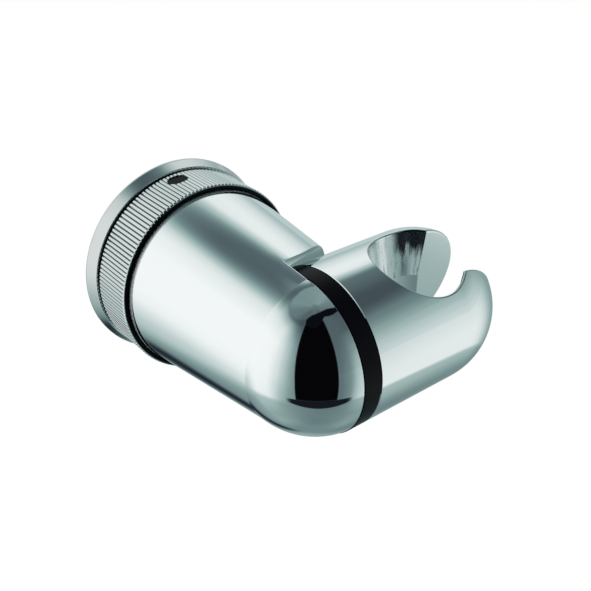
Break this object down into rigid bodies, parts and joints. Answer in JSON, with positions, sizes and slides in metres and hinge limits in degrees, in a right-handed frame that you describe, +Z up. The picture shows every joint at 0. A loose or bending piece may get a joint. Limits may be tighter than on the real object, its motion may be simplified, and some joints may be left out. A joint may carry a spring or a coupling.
{
  "type": "hand shower holder",
  "caption": "Wall-mounted hand shower holder: round rosette, knurled clamping ring, conical elbow that turns on the wall axis and a swivelling slotted cup with a tapered seat",
  "frame": {"origin": "Centre of the rosette's back face, on the finished wall", "axes": "+Y points into the wall, so the elbow reaches out along -Y; +X runs along the cup's axis towards its open nose; +Z is up"},
  "size_m": [0.0843, 0.0857, 0.06],
  "materials": {
    "chromed_brass": "polished chrome plate",
    "black_polymer": "smooth satin black moulding",
    "cast_brass": "as cast and turned",
    "bearing_bronze": "sintered, slightly dark",
    "stainless": "turned and pickled",
    "spring_steel": "blued, smooth",
    "white_acetal": "moulded, slightly waxy",
    "brake_fibre": "pressed fibre, dry",
    "seal_rubber": "soft matt rubber"
  },
  "bodies": {
    "wall": {"wall_plate": "cast_brass", "wall_gasket": "seal_rubber", "rosette": "chromed_brass", "ring_washer": "black_polymer", "brake_washer": "brake_fibre"},
    "ring": {"knurled_ring": "chromed_brass", "lock_screw": "stainless", "lock_screw_cap": "black_polymer"},
    "elbow": {"elbow_body": "chromed_brass", "slip_bush": "black_polymer", "thrust_washer": "white_acetal", "retaining_ring": "spring_steel", "swivel_ring": "black_polymer", "pivot_bush": "bearing_bronze", "friction_disc": "brake_fibre"},
    "cup": {"swivel_cup": "chromed_brass", "swivel_o_ring": "seal_rubber", "pivot_screw": "stainless", "pivot_washer": "stainless", "disc_springs": "spring_steel", "lock_nut": "stainless"}
  },
  "joints": [
    {"name": "ring_turn", "type": "hinge", "parent": "wall", "child": "ring", "pos_m": [0, 0, 0], "axis": [0, -1, 0], "range_deg": [0, 180]},
    {"name": "body_turn", "type": "hinge", "parent": "wall", "child": "elbow", "pos_m": [0, 0, 0], "axis": [0, -1, 0], "continuous": true},
    {"name": "cup_swivel", "type": "hinge", "parent": "elbow", "child": "cup", "pos_m": [0, -0.06435, 0], "axis": [1, 0, 0], "continuous": true}
  ]
}
